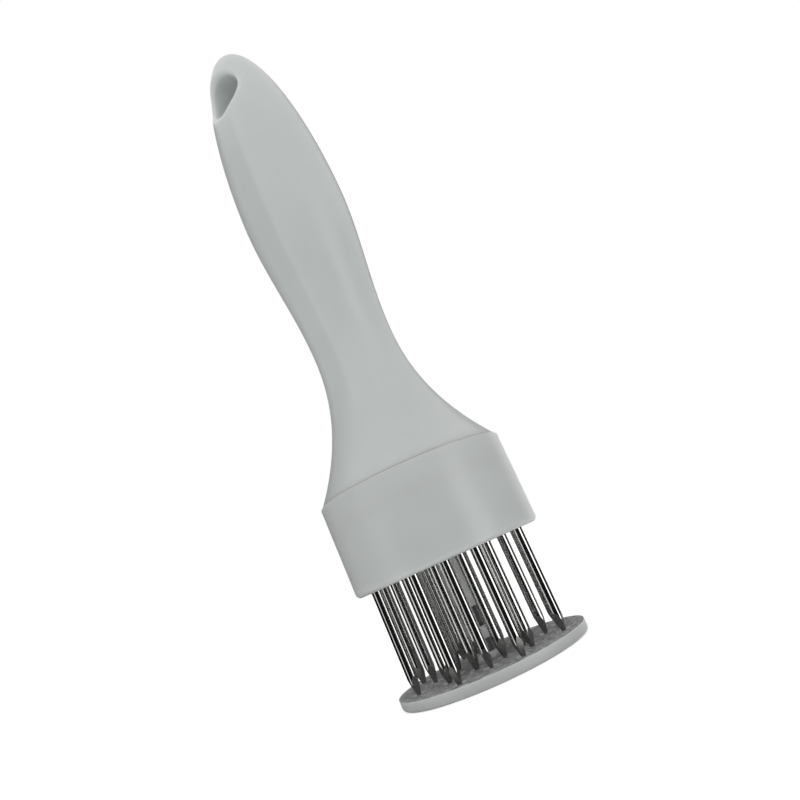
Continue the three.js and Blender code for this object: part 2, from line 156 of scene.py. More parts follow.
foot_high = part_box("foot_disc")[1]
foot_radius = foot_high.x
foot_top = foot_high.z
foot_edge = 0.9 * mm
foot_break = 0.22 * mm
foot_hole_radius = 2.2 * mm
stake_radius = 2.3 * mm
stake_head_radius = 3.5 * mm
stake_head_seat = 1.3 * mm
# Faces this close below the top take the painted shade of the needles
shaded_top_depth = 0.1 * mm
overrun = 1 * mm


def quarter_round(radius, height, edge, steps=5):
    """Points of a rounded lower corner, from the flat underside out to the upright side."""
    angles = [math.pi / 2 * i / steps for i in range(steps + 1)]
    return [(radius - edge + edge * math.sin(a), height + edge - edge * math.cos(a)) for a in angles]


foot_disc = pulled("foot_disc_skin", [
    *quarter_round(foot_radius, 0, foot_edge),
    (foot_radius, foot_top),
])
foot_cutters = [
    drill(foot_hole_radius, -overrun, foot_top + overrun, x, y)
    for x, y in needle_places.values()
]
foot_cutters.append(drill(stake_radius, -overrun, foot_top + overrun))
cut(foot_disc, foot_cutters)
cut(foot_disc, [drill(stake_head_radius, -overrun, stake_head_seat)])
soften(foot_disc, foot_break)


class Signal:
    """A socket of a shader that Python's operators work on, so that a pattern reads as a formula."""

    def __init__(self, finish, socket):
        self.finish = finish
        self.socket = socket

    def maths(self, operation, *others):
        values = dict(enumerate((self, *others)))
        return self.finish.node("ShaderNodeMath", {"operation": operation}, values)

    def flipped(self, operation, other):
        return self.finish.node("ShaderNodeMath", {"operation": operation}, {0: other, 1: self})

    def __add__(self, other):
        return self.maths("ADD", other)

    def __sub__(self, other):
        return self.maths("SUBTRACT", other)

    def __rsub__(self, other):
        return self.flipped("SUBTRACT", other)

    def __mul__(self, other):
        return self.maths("MULTIPLY", other)

    def __truediv__(self, other):
        return self.maths("DIVIDE", other)

    def __pow__(self, other):
        return self.maths("POWER", other)

    __radd__ = __add__
    __rmul__ = __mul__


class Finish:
    """A material, or the world, while its nodes are wired."""

    def __init__(self, owner):
        owner.use_nodes = True
        self.owner = owner
        self.tree = owner.node_tree
        self.tree.nodes.clear()

    def node(self, kind, settings=None, sockets=None, output=0):
        """Adds a node: its settings first, then its sockets' values or links."""
        made = self.tree.nodes.new(kind)
        for setting, value in (settings or {}).items():
            setattr(made, setting, value)
        for name, value in (sockets or {}).items():
            if isinstance(value, Signal):
                self.tree.links.new(value.socket, made.inputs[name])
            else:
                made.inputs[name].default_value = value
        return Signal(self, made.outputs[output]) if made.outputs else None

    def surface(self, sockets):
        """Ends the material in one Principled shader with these sockets."""
        shader = self.node("ShaderNodeBsdfPrincipled", {}, sockets)
        self.node("ShaderNodeOutputMaterial", {}, {"Surface": shader})
        return self.owner

    def noise(self, place, scale, detail=2.0, roughness=0.5):
        sockets = {"Vector": place, "Scale": scale, "Detail": detail, "Roughness": roughness}
        return self.node("ShaderNodeTexNoise", {}, sockets)

    def stretched(self, place, factors):
        return self.node("ShaderNodeMapping", {}, {"Vector": place, "Scale": factors})

    def place(self):
        return self.node("ShaderNodeTexCoord", {}, {}, "Object")

    def blend(self, factor, first, second):
        """A colour between two by a signal. The node's factor is input 0, its colours are 6 and 7."""
        sockets = {0: factor, 6: (*first, 1), 7: (*second, 1)}
        return self.node("ShaderNodeMix", {"data_type": "RGBA"}, sockets, 2)

    def ramp(self, value, low, high):
        """Zero up to low and one from high on, with a smooth step between."""
        sockets = {"Value": value, "From Min": low, "From Max": high}
        return self.node("ShaderNodeMapRange", {"interpolation_type": "SMOOTHSTEP"}, sockets)

    def bump(self, height, strength, depth):
        sockets = {"Strength": strength, "Distance": depth, "Height": height}
        return self.node("ShaderNodeBump", {}, sockets)


plastic_ior = 1.46
plastic_glow = 5 * mm
plastic_grain = 0.03 * mm


def moulded_plastic(name, dark, light, roughness):
    """Satin, slightly translucent plastic: faint clouds of colour, soft orange peel, hair-fine scuffs."""
    finish = Finish(bpy.data.materials.new(name))
    place = finish.place()
    clouds = finish.noise(place, 60, 3.0)
    specks = finish.noise(place, 900, 2.0)
    peel = finish.noise(place, 420, 2.0)
    scuffs = finish.noise(finish.stretched(place, (1, 1, 0.18)), 2600, 1.0)
    tone = clouds * 0.75 + specks * 0.25
    height = peel * 0.6 + specks * 0.3 + scuffs * 0.1
    return finish.surface({
        "Base Color": finish.blend(tone, dark, light),
        "Roughness": roughness - 0.05 + clouds * 0.06 + scuffs * 0.04,
        "IOR": plastic_ior,
        "Subsurface Weight": 1.0,
        "Subsurface Radius": (1, 1, 1),
        "Subsurface Scale": plastic_glow,
        "Normal": finish.bump(height, 0.35, plastic_grain),
    })


def shade_blotched_plastic(name, dark, light, roughness):
    """Scored plastic, painted darker in sharp-edged blotches for the shade and reflections of needles."""
    finish = Finish(bpy.data.materials.new(name))
    place = finish.place()
    blotches = finish.noise(place, 650, 4.0, 0.65)
    scores = finish.noise(finish.stretched(place, (1, 0.3, 1)), 1500, 2.0)
    unshaded = finish.ramp(blotches * 0.6 + scores * 0.4, 0.4, 0.6)
    return finish.surface({
        "Base Color": finish.blend(unshaded, dark, light),
        "Roughness": roughness + unshaded * 0.1,
        "IOR": plastic_ior,
        "Normal": finish.bump(scores, 0.4, plastic_grain),
    })


def coat(piece, *materials):
    """Gives the piece these materials and no others, with the first of them all over."""
    piece.data.materials.clear()
    for material in materials:
        piece.data.materials.append(material)


foot_plastic = moulded_plastic("foot_plastic", (0.483, 0.495, 0.49), (0.55, 0.562, 0.556), 0.42)
# Painted shade: the top is darker in blotches for the shadows and dark reflections of the needles
shaded_top_plastic = shade_blotched_plastic("shaded_top_plastic", (0.2, 0.203, 0.2), (0.56, 0.57, 0.565), 0.42)
coat(foot_disc, foot_plastic, shaded_top_plastic)
for polygon in foot_disc.data.polygons:
    if polygon.center.z > foot_top - shaded_top_depth:
        polygon.material_index = 1
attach(foot_disc, "foot")
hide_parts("foot_disc")


# Guide post
# A round plastic post that carries the foot and slides in the needle pack. Two cored pockets on each of
# two sides keep its wall thin, and at their height the post is matt and painted dark for the shade in
# the pockets. Its lower end is staked into the foot.
post_low, post_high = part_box("guide_post")
post_radius = 2.6 * mm
post_flange_radius = 4.4 * mm
post_flange_top = foot_top + 1.8 * mm
post_top = post_high.z
post_pilot_radius = 1.55 * mm
post_pilot_bottom = 37.7 * mm
post_stake_radius = 2 * mm
post_stake_head = 3.2 * mm
pocket_width = 3.6 * mm
pocket_depth = 1.9 * mm
pocket_turn = math.radians(37.5)
lower_pocket = (post_flange_top, 8.2 * mm)
upper_pocket = (11.6 * mm, 17.2 * mm)
dimple_radius = 0.5 * mm
dimple_depth = 0.4 * mm
post_break = 0.12 * mm
band_slack = 0.1 * mm

guide_post = pulled("guide_post_skin", [
    (post_stake_head, post_low.z),
    (post_stake_head, stake_head_seat),
    (post_stake_radius, stake_head_seat),
    (post_stake_radius, foot_top),
    (post_flange_radius, foot_top),
    (post_flange_radius, post_flange_top),
    (post_radius, post_flange_top),
    (post_radius, lower_pocket[1]),
    (post_radius, upper_pocket[0]),
    (post_radius, upper_pocket[1]),
    (post_radius, post_top),
], sides=64)


def block(size, place, turn):
    """A box that stands out from the Z axis by its place and is turned about that axis."""
    bpy.ops.object.select_all(action="DESELECT")
    bpy.ops.mesh.primitive_cube_add(size=1, location=place)
    made = bpy.context.object
    made.scale = size
    bpy.ops.object.transform_apply(location=True, rotation=True, scale=True)
    made.data.transform(Matrix.Rotation(turn, 4, "Z"))
    return made


post_cutters = []
for side in (-1, 1):
    for bottom, top in (lower_pocket, upper_pocket):
        reach = side * (post_radius - pocket_depth / 2 + overrun / 2)
        size = (pocket_width, pocket_depth + overrun, top - bottom)
        post_cutters.append(block(size, (0, reach, (top + bottom) / 2), pocket_turn))
cut(guide_post, post_cutters)
cut(guide_post, [drill(post_pilot_radius, post_pilot_bottom, post_top + overrun)])
for side in (-1, 1):
    dimple = drill(dimple_radius, -dimple_depth, dimple_depth, sides=24)
    dimple_place = (0, side * (post_radius - pocket_depth), sum(upper_pocket) / 2)
    dimple.data.transform(Matrix.Rotation(math.pi / 2, 4, "X"))
    dimple.data.transform(Matrix.Translation(dimple_place))
    dimple.data.transform(Matrix.Rotation(pocket_turn, 4, "Z"))
    cut(guide_post, [dimple])


def in_shaded_band(place):
    """Whether a face of the post, by its middle, lies at a pocket's height and so takes the painted shade.
    """
    if math.hypot(place.x, place.y) > post_radius + band_slack:
        return False
    bands = (lower_pocket, upper_pocket)
    return any(bottom - band_slack < place.z < top + band_slack for bottom, top in bands)


post_plastic = moulded_plastic("post_plastic", (0.76, 0.78, 0.77), (0.84, 0.86, 0.85), 0.42)
# Painted shade: faces at pocket height are dark for the shade that falls in the pockets
pocket_shade_plastic = moulded_plastic("pocket_shade_plastic", (0.13, 0.137, 0.134), (0.19, 0.2, 0.195), 0.6)
coat(guide_post, post_plastic, pocket_shade_plastic)
# The faces at the pockets' height take the painted shade
for polygon in guide_post.data.polygons:
    if in_shaded_band(polygon.center):
        polygon.material_index = 1
soften(guide_post, post_break)
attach(guide_post, "foot")
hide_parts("guide_post")


# Needles
# Polished stainless rods with a rolled head. Each point is ground on four sides, and the grinding leaves
# the facets duller and darker than the drawn rod.
needle_radius = 1.4 * mm
needle_head_radius = 2 * mm
needle_head_height = 1 * mm
needle_low, needle_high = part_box("needle_01")
needle_tip = needle_low.z
needle_top = needle_high.z
needle_seat = needle_top - needle_head_height
needle_break = 0.04 * mm
point_length = 6.8 * mm
point_flat = 0.12 * mm
steel_grain = 0.01 * mm


def polished_steel():
    """Bright drawn rod with faint smears and draw marks along it."""
    finish = Finish(bpy.data.materials.new("needle_steel"))
    place = finish.place()
    drawn = finish.noise(finish.stretched(place, (1, 1, 0.02)), 1100, 1.0)
    smears = finish.noise(finish.stretched(place, (1, 1, 0.25)), 160, 2.0)
    tone = drawn * 0.4 + smears * 0.6
    return finish.surface({
        "Base Color": finish.blend(tone, (0.52, 0.52, 0.51), (0.66, 0.66, 0.65)),
        "Metallic": 1.0,
        "Roughness": 0.07 + smears * 0.07,
    })


def ground_steel():
    """The ground sides of a point: darker and duller steel, scored across."""
    finish = Finish(bpy.data.materials.new("ground_point"))
    place = finish.place()
    scores = finish.noise(finish.stretched(place, (0.3, 0.3, 1)), 5200, 2.0)
    smears = finish.noise(place, 1500, 2.0)
    return finish.surface({
        "Base Color": finish.blend(smears, (0.13, 0.13, 0.125), (0.30, 0.30, 0.29)),
        "Metallic": 1.0,
        "Roughness": 0.34 + scores * 0.18,
        "Normal": finish.bump(scores, 0.5, steel_grain),
    })


needle = pulled("needle_rod", [
    (needle_radius, needle_tip),
    (needle_radius, needle_seat),
    (needle_head_radius, needle_seat),
    (needle_head_radius, needle_top),
], sides=32)
slope = (needle_radius - point_flat) / point_length
pick(needle)
bpy.ops.object.mode_set(mode="EDIT")
for quarter in range(4):
    side = Matrix.Rotation(math.pi / 2 * quarter, 3, "Z")
    bpy.ops.mesh.select_all(action="SELECT")
    bpy.ops.mesh.bisect(
        plane_co=side @ Vector((point_flat, 0, needle_tip)),
        plane_no=side @ Vector((1, 0, -slope)),
        use_fill=True,
        clear_outer=True,
    )
bpy.ops.mesh.select_all(action="SELECT")
bpy.ops.mesh.remove_doubles(threshold=weld_gap)
bpy.ops.mesh.normals_make_consistent(inside=False)
bpy.ops.object.mode_set(mode="OBJECT")
coat(needle, polished_steel(), ground_steel())
for polygon in needle.data.polygons:
    if abs(polygon.normal.z + slope) < slope / 2:
        polygon.material_index = 1
soften(needle, needle_break, segments=2, angle=12)


def placed_copy(piece, name, x, y, turn):
    """One more of a piece that was made on the Z axis: turned about it, then moved out to x and y."""
    another = piece.copy()
    another.data = piece.data.copy()
    another.name = name
    bpy.context.collection.objects.link(another)
    another.data.transform(Matrix.Translation((x, y, 0)) @ Matrix.Rotation(turn, 4, "Z"))
    return another


for node, (x, y) in needle_places.items():
    rod = placed_copy(needle, f"rod_{node[-2:]}", x, y, math.atan2(y, x))
    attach(rod, "head")
    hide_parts(node)
bpy.data.objects.remove(needle)


# Needle plate
# A disc of matt plastic that lies on the collar's ledge. It is drilled for every needle, with a pocket for
# each rolled head, and the guide post slides through its middle.
plate_radius = 25 * mm
plate_low, plate_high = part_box("needle_plate")
plate_break = 0.1 * mm
needle_gap = 0.25 * mm
post_gap = 0.3 * mm
head_gap = 0.02 * mm
pocket_bottom = needle_seat - head_gap
screw_ring = 9.6 * mm
screw_turn = math.radians(-7.5)
screw_hole_radius = 1.25 * mm
screw_hole_bottom = 34.35 * mm
screw_angles = [screw_turn + math.pi / 2 * (i + 0.5) for i in range(4)]
screw_places = [(screw_ring * math.cos(a), screw_ring * math.sin(a)) for a in screw_angles]

inner_plastic = moulded_plastic("inner_plastic", (0.48, 0.505, 0.495), (0.57, 0.595, 0.585), 0.55)

needle_plate = pulled("needle_plate_skin", [
    (plate_radius, plate_low.z),
    (plate_radius, plate_high.z),
], sides=128)
through_holes = [
    drill(needle_radius + needle_gap, plate_low.z - overrun, plate_high.z + overrun, x, y)
    for x, y in needle_places.values()
]
through_holes.append(drill(post_radius + post_gap, plate_low.z - overrun, plate_high.z + overrun))
for x, y in screw_places:
    through_holes.append(drill(screw_hole_radius, screw_hole_bottom, plate_high.z + overrun, x, y))
cut(needle_plate, through_holes)
head_pockets = [
    drill(needle_head_radius + needle_gap, pocket_bottom, plate_high.z + overrun, x, y)
    for x, y in needle_places.values()
]
cut(needle_plate, head_pockets)
soften(needle_plate, plate_break, segments=2)
coat(needle_plate, inner_plastic)
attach(needle_plate, "head")
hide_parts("needle_plate")


# Clamp plate
# A matt plastic disc that is screwed down over the needle heads, so that they can't push up out of their
# pockets. A boss in its middle guides the post.
clamp_low, clamp_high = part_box("clamp_plate")
clamp_thickness = 3 * mm
clamp_top = clamp_low.z + clamp_thickness
clamp_break = 0.2 * mm
boss_radius = 4.6 * mm

clamp_plate = pulled("clamp_plate_skin", [
    (plate_radius, clamp_low.z),
    (plate_radius, clamp_top),
    (boss_radius, clamp_top),
    (boss_radius, clamp_high.z),
], sides=128)
clamp_holes = [drill(post_radius + post_gap, clamp_low.z - overrun, clamp_high.z + overrun, sides=64)]
for x, y in screw_places:
    clamp_holes.append(drill(screw_hole_radius, clamp_low.z - overrun, clamp_top + overrun, x, y))
cut(clamp_plate, clamp_holes)
soften(clamp_plate, clamp_break)
coat(clamp_plate, inner_plastic)
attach(clamp_plate, "head")
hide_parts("clamp_plate")


# Plate screws
# Four small zinc-plated pan-head screws with a cross recess. They are driven through the clamp plate into
# the needle plate, and so hold the needles' heads between the two.
thread_count = 10
thread_root_share = 0.82
screw_tip_share = 0.2
crown_upright_share = 0.5
crown_curve_share = 0.28
crown_flat_share = 0.3
crown_steps = 5
recess_arm_share, recess_width_share, recess_depth_share = 1.1, 0.26, 0.9
screw_break = 0.04 * mm


def plated_steel():
    """Bright zinc plating, slightly uneven and fine-grained."""
    finish = Finish(bpy.data.materials.new("screw_steel"))
    place = finish.place()
    cast = finish.noise(place, 700, 2.0)
    grit = finish.noise(place, 4200, 2.0)
    return finish.surface({
        "Base Color": finish.blend(cast, (0.46, 0.46, 0.45), (0.60, 0.60, 0.58)),
        "Metallic": 1.0,
        "Roughness": 0.26 + grit * 0.14,
        "Normal": finish.bump(grit, 0.2, steel_grain),
    })


screw_steel = plated_steel()


def pan_screw(name, shank, length, head, head_height, seat):
    """A pan-head screw with a cross recess, its head's underside at a height."""
    root = shank * thread_root_share
    thread_start = seat - length + shank
    pitch = (length - shank) / thread_count
    body = [(root * screw_tip_share, seat - length), (root, thread_start)]
    for i in range(thread_count):
        body.append((shank, thread_start + pitch * (i + 0.5)))
        body.append((root, thread_start + pitch * (i + 1)))
    body[-1] = (root, seat)
    crown = [(head, seat), (head, seat + head_height * crown_upright_share)]
    for i in range(1, crown_steps):
        turn = math.pi / 2 * i / crown_steps
        reach = head * (1 - crown_curve_share + crown_curve_share * math.cos(turn))
        rise = head_height * (crown_upright_share + (1 - crown_upright_share) * math.sin(turn))
        crown.append((reach, seat + rise))
    crown.append((head * crown_flat_share, seat + head_height))
    screw = pulled(name, [*body, *crown], sides=32)
    arm, width = head * recess_arm_share, head * recess_width_share
    depth = head_height * recess_depth_share
    top = (0, 0, seat + head_height)
    cut(screw, [block((arm, width, depth), top, 0)])
    cut(screw, [block((width, arm, depth), top, 0)])
    soften(screw, screw_break, segments=2)
    coat(screw, screw_steel)
    return screw


first_screw = pan_screw(
    "plate_screw", shank=1.1 * mm, length=6.2 * mm, head=1.8 * mm, head_height=1.5 * mm, seat=clamp_top
)
for i, (x, y) in enumerate(screw_places):
    screw = placed_copy(first_screw, f"clamp_screw_{i + 1}", x, y, screw_angles[i])
    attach(screw, "head")
    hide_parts(f"plate_screw_{i + 1}")
bpy.data.objects.remove(first_screw)


# Spring washer and retainer screw
# A plain plated washer on the post's end takes the spring. A pan-head screw in the post holds it there and
# keeps the foot from falling out of the guide boss.
washer_low, washer_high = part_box("spring_washer")
washer_radius = 5.5 * mm
washer_break = 0.12 * mm
retainer_radius = 1.4 * mm

spring_washer = pulled("spring_washer_skin", [
    (washer_radius, washer_low.z),
    (washer_radius, washer_high.z),
    (retainer_radius + post_gap, washer_high.z),
    (retainer_radius + post_gap, washer_low.z),
    (washer_radius, washer_low.z),
], sides=64)
soften(spring_washer, washer_break)
coat(spring_washer, screw_steel)
retainer_screw = pan_screw(
    "retainer_screw_skin",
    shank=retainer_radius, length=9 * mm, head=3 * mm, head_height=2 * mm, seat=washer_high.z,
)
for piece, node in ((spring_washer, "spring_washer"), (retainer_screw, "retainer_screw")):
    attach(piece, "foot")
    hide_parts(node)


# Return spring
# A compression spring of drawn wire between the washer and its seat in the handle. Its first and last turns
# lie close.
spring_low, spring_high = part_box("return_spring")
wire_radius = 0.5 * mm
coil_radius = 4.9 * mm
coil_turns = 13
end_pitch = 1.6 * mm
steps_per_turn = 24
spring_seat = 96.9 * mm
wire_crease_angle = math.radians(40)


def drawn_wire():
    """Grey spring wire with the marks of drawing."""
    finish = Finish(bpy.data.materials.new("spring_steel"))
    place = finish.place()
    draw_marks = finish.noise(finish.stretched(place, (1, 1, 3)), 900, 2.0)
    return finish.surface({
        "Base Color": finish.blend(draw_marks, (0.30, 0.31, 0.32), (0.46, 0.47, 0.48)),
        "Metallic": 1.0,
        "Roughness": 0.24 + draw_marks * 0.14,
    })


def coil_height(turn, bottom, length):
    """Height of the wire's middle line after so many turns, with a closer turn at each end."""
    open_pitch = (length - 2 * end_pitch) / (coil_turns - 2)
    low = min(turn, 1)
    high = max(0, turn - (coil_turns - 1))
    return bottom + (low + high) * end_pitch + (turn - low - high) * open_pitch


wire_bottom = spring_low.z + wire_radius
wire_length = spring_high.z - spring_low.z - 2 * wire_radius
wire_path = bpy.data.curves.new("return_spring_wire", "CURVE")
wire_path.dimensions = "3D"
wire_path.bevel_depth = wire_radius
wire_path.bevel_resolution = 3
wire_path.use_fill_caps = True
wire = wire_path.splines.new("POLY")
wire.points.add(coil_turns * steps_per_turn)
for i, point in enumerate(wire.points):
    turn = i / steps_per_turn
    a = 2 * math.pi * turn
    height = coil_height(turn, wire_bottom, wire_length)
    point.co = (coil_radius * math.cos(a), coil_radius * math.sin(a), height, 1)
return_spring = bpy.data.objects.new("return_spring_coil", wire_path)
bpy.context.collection.objects.link(return_spring)
pick(return_spring)
bpy.ops.object.convert(target="MESH")
return_spring = bpy.context.object
bpy.ops.object.mode_set(mode="EDIT")
bpy.ops.mesh.select_all(action="SELECT")
bpy.ops.mesh.remove_doubles(threshold=weld_gap)
bpy.ops.mesh.normals_make_consistent(inside=False)
bpy.ops.object.mode_set(mode="OBJECT")
bpy.ops.object.shade_smooth_by_angle(angle=wire_crease_angle)
coat(return_spring, drawn_wire())
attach(return_spring, "head")
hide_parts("return_spring")
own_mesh(return_spring)


# Collar
# A moulded ring of the same grey-white plastic as the handle. It snaps over the handle's skirt and its
# ledge carries the needle pack. Its lower rim is well rounded.
collar_low, collar_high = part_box("collar")
collar_radius = collar_high.x
collar_bottom = collar_low.z
collar_top = collar_high.z
collar_wall = 1.9 * mm
collar_ledge = 1.4 * mm
collar_inner = collar_radius - collar_wall
collar_ledge_inner = collar_inner - collar_ledge
collar_ledge_top = plate_low.z
collar_edge = 1.4 * mm
collar_break = 0.18 * mm
snap_middle = collar_top - 7 * mm
snap_half = 0.9 * mm
snap_crest = 0.3 * mm
snap_depth = 0.6 * mm
snap_gap = 0.3 * mm

body_plastic = moulded_plastic("body_plastic", (0.57, 0.598, 0.584), (0.64, 0.672, 0.656), 0.32)

collar = pulled("collar_skin", [
    (collar_ledge_inner, collar_bottom),
    *quarter_round(collar_radius, collar_bottom, collar_edge),
    (collar_radius, collar_top),
    (collar_inner, collar_top),
    (collar_inner, snap_middle + snap_half + snap_gap),
    (collar_inner + snap_depth, snap_middle + snap_crest + snap_gap),
    (collar_inner + snap_depth, snap_middle - snap_crest - snap_gap),
    (collar_inner, snap_middle - snap_half - snap_gap),
    (collar_inner, collar_ledge_top),
    (collar_ledge_inner, collar_ledge_top),
    (collar_ledge_inner, collar_bottom),
], sides=128)
soften(collar, collar_break)
coat(collar, body_plastic)
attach(collar, "head")
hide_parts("collar")


# Handle
# One hollow moulding of grey-white plastic. A skirt snaps into the collar, the flare runs up into a waist
# and a swelling grip, and the front and back are pressed flat up to the hang hole with its rounded lip.
handle_low, handle_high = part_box("handle")
skirt_bottom = handle_low.z
handle_top = handle_high.z
rim_step = 0.4 * mm
parting_gap = 0.08 * mm
rim_radius = collar_radius - rim_step
rim_bottom = collar_top + parting_gap
rim_edge = 0.25 * mm
neck_radius = 12.2 * mm
neck_height = collar_top + 41.6 * mm
flare_power = 2.15
grip_radius = 16 * mm
grip_height = collar_top + 89.1 * mm
dome_power = 0.47
handle_wall = 2.4 * mm
skirt_inner = plate_radius - handle_wall
spring_tube_gap = 1 * mm
spring_tube_wall = 2 * mm
spring_tube_inner = washer_radius + spring_tube_gap
spring_tube_outer = spring_tube_inner + spring_tube_wall
spring_tube_bottom = 52.2 * mm
cavity_top = collar_top + 28.5 * mm
core_radius = 4.2 * mm
core_tip = 4 * mm
core_top = spring_seat + 42 * mm
rib_thickness = 2 * mm
panel_half = math.radians(14.4)
panel_start = collar_top + 18 * mm
panel_end = collar_top + 128.3 * mm
panel_fade = 20 * mm
crease_softness = 0.2 * mm
pole_radius = 0.05 * mm
columns = 192
flare_rings = 40
swell_rings = 26
dome_rings = 48
cavity_rings = 8


def smooth_step(value, low, high):
    """Zero up to low and one from high on, with a smooth step between."""
    share = min(1, max(0, (value - low) / (high - low)))
    return share * share * (3 - 2 * share)


def handle_radius(height):
    """Radius of the round section: the flare, the swelling grip and the dome."""
    if height <= neck_height:
        left = 1 - (height - rim_bottom) / (neck_height - rim_bottom)
        return neck_radius + (rim_radius - neck_radius) * left ** flare_power
    if height <= grip_height:
        return neck_radius + (grip_radius - neck_radius) * smooth_step(height, neck_height, grip_height)
    along = min(1, (height - grip_height) / (handle_top - grip_height))
    return grip_radius * (1 - along * along) ** dome_power


def panel_amount(height):
    """How much of the flat panel there is at a height, from none to one."""
    rise = smooth_step(height, panel_start, panel_start + panel_fade)
    return rise * (1 - smooth_step(height, panel_end, panel_end + panel_fade / 2))


def face_reach(x, height):
    """How far front or back stands from the middle plane: round, but pressed flat where the panel is."""
    radius = handle_radius(height)
    round_reach = math.sqrt(max(0, radius * radius - x * x))
    proud = round_reach - radius * math.cos(panel_half)
    pressed = (proud + math.hypot(proud, crease_softness)) / 2
    return round_reach - panel_amount(height) * min(pressed, round_reach)


def cavity_radius(height):
    """Radius of the hollow behind the skirt and the flare."""
    return min(skirt_inner, handle_radius(height) - handle_wall)


outer_heights = [
    rim_bottom + rim_edge + (neck_height - rim_bottom - rim_edge) * i / flare_rings
    for i in range(flare_rings)
]
outer_heights += [neck_height + (grip_height - neck_height) * i / swell_rings for i in range(swell_rings)]
dome_turns = [math.pi / 2 * i / dome_rings for i in range(dome_rings)]
outer_heights += [grip_height + (handle_top - grip_height) * math.sin(a) for a in dome_turns]
cavity_heights = [
    rim_bottom + (cavity_top - rim_bottom) * (1 - i / cavity_rings)
    for i in range(cavity_rings + 1)
]
handle = pulled("handle_skin", [
    (pole_radius, core_top),
    (core_radius, core_top - core_tip),
    (core_radius, spring_seat),
    (spring_tube_inner, spring_seat),
    (spring_tube_inner, spring_tube_bottom),
    (spring_tube_outer, spring_tube_bottom),
    (spring_tube_outer, cavity_top),
    *[(cavity_radius(height), height) for height in cavity_heights],
    (skirt_inner, skirt_bottom),
    (plate_radius, skirt_bottom),
    (plate_radius, snap_middle - snap_half),
    (plate_radius + snap_depth, snap_middle - snap_crest),
    (plate_radius + snap_depth, snap_middle + snap_crest),
    (plate_radius, snap_middle + snap_half),
    (plate_radius, rim_bottom),
    (rim_radius - rim_edge, rim_bottom),
    *[(handle_radius(height), height) for height in outer_heights],
    (pole_radius, handle_top),
], sides=columns)

# Four ribs join the spring tube to the wall: a slice of the hollow's own shape, cut by two crossed blades
rib_heights = [height for height in reversed(cavity_heights) if height > spring_tube_bottom]
rib_root = 0.5 * mm
rib_bite = 0.8 * mm
rib_inner = spring_tube_outer - rib_root
ribs = pulled("ribs", [
    (rib_inner, spring_tube_bottom),
    (skirt_inner + rib_bite, spring_tube_bottom),
    *[(cavity_radius(height) + rib_bite, height) for height in rib_heights],
    (rib_inner, cavity_top + rib_bite),
    (rib_inner, spring_tube_bottom),
])
blade_height = cavity_top - skirt_bottom
blade_place = (0, 0, (cavity_top + skirt_bottom) / 2 + overrun)
blades = [
    block((4 * plate_radius, rib_thickness, 2 * blade_height), blade_place, math.radians(turn))
    for turn in (45, 135)
]
cross = blades[0]
apply(cross, "BOOLEAN", object=blades[1], operation="UNION", solver="EXACT")
bpy.data.objects.remove(blades[1])
apply(ribs, "BOOLEAN", object=cross, operation="INTERSECT", solver="EXACT")
bpy.data.objects.remove(cross)
apply(handle, "BOOLEAN", object=ribs, operation="UNION", solver="EXACT")
bpy.data.objects.remove(ribs)


def choose_faces(piece, test):
    """Opens the piece in edit mode with only these faces selected."""
    pick(piece)
    bpy.ops.object.mode_set(mode="EDIT")
    bpy.ops.mesh.select_mode(type="FACE")
    bpy.ops.mesh.select_all(action="DESELECT")
    bpy.ops.object.mode_set(mode="OBJECT")
    for polygon in piece.data.polygons:
        polygon.select = test(polygon)
    bpy.ops.object.mode_set(mode="EDIT")


def on_outside(point):
    """Whether a point of the handle belongs to its outer surface, above the parting line."""
    least_radius = handle_radius(point.z) - handle_wall / 2
    return point.z > rim_bottom + rim_edge / 2 and math.hypot(point.x, point.y) > least_radius


# The front and back are pressed flat, and a window is opened in each for the hang hole
for vertex in handle.data.vertices:
    if on_outside(vertex.co):
        side = 1 if vertex.co.y > 0 else -1
        vertex.co.y = side * face_reach(vertex.co.x, vertex.co.z)

hang_height = 188.7 * mm
hang_radius = 6.6 * mm
hang_lip = 2.6 * mm
hang_lip_depth = 2.8 * mm
window_half = math.radians(60)
window_low, window_high = 177 * mm, 200 * mm
window_steps = 6
lip_steps = 8
bore_cuts = 10


def in_window(polygon):
    """Whether a face lies in the stretch of front or back where the hole opens."""
    x, y, z = polygon.center
    return window_low < z < window_high and abs(math.atan2(x, abs(y))) < window_half


def move_rims(new_reach, depth):
    """Sets both open rims of the hole at a new reach from its axis, and sunk below the face by a depth."""
    rims = bmesh.from_edit_mesh(handle.data)
    for vertex in rims.verts:
        if vertex.select:
            side = 1 if vertex.co.y > 0 else -1
            away = Vector((vertex.co.x, vertex.co.z - hang_height))
            away *= new_reach(away.length) / away.length
            height = hang_height + away.y
            vertex.co = (away.x, side * (face_reach(away.x, height) - depth), height)
    bmesh.update_edit_mesh(handle.data)


choose_faces(handle, in_window)
bpy.ops.mesh.delete(type="FACE")
bpy.ops.mesh.select_mode(type="EDGE")
bpy.ops.mesh.select_non_manifold(
    extend=False, use_wire=False, use_multi_face=False, use_verts=False
)
hang_mouth = hang_radius + hang_lip
for step in range(window_steps):
    bpy.ops.mesh.extrude_edges_move()
    move_rims(lambda reach: reach + (hang_mouth - reach) / (window_steps - step), 0)
for step in range(1, lip_steps + 1):
    turn = math.pi / 2 * step / lip_steps
    bpy.ops.mesh.extrude_edges_move()
    mouth = hang_radius + hang_lip * (1 - math.sin(turn))
    move_rims(lambda reach: mouth, hang_lip_depth * (1 - math.cos(turn)))
bpy.ops.mesh.bridge_edge_loops(number_cuts=bore_cuts)
bpy.ops.mesh.select_all(action="SELECT")
bpy.ops.mesh.normals_make_consistent(inside=False)
bpy.ops.object.mode_set(mode="OBJECT")
bpy.ops.object.shade_smooth_by_angle(angle=crease_angle)
coat(handle, body_plastic)
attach(handle, "head")
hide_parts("handle")


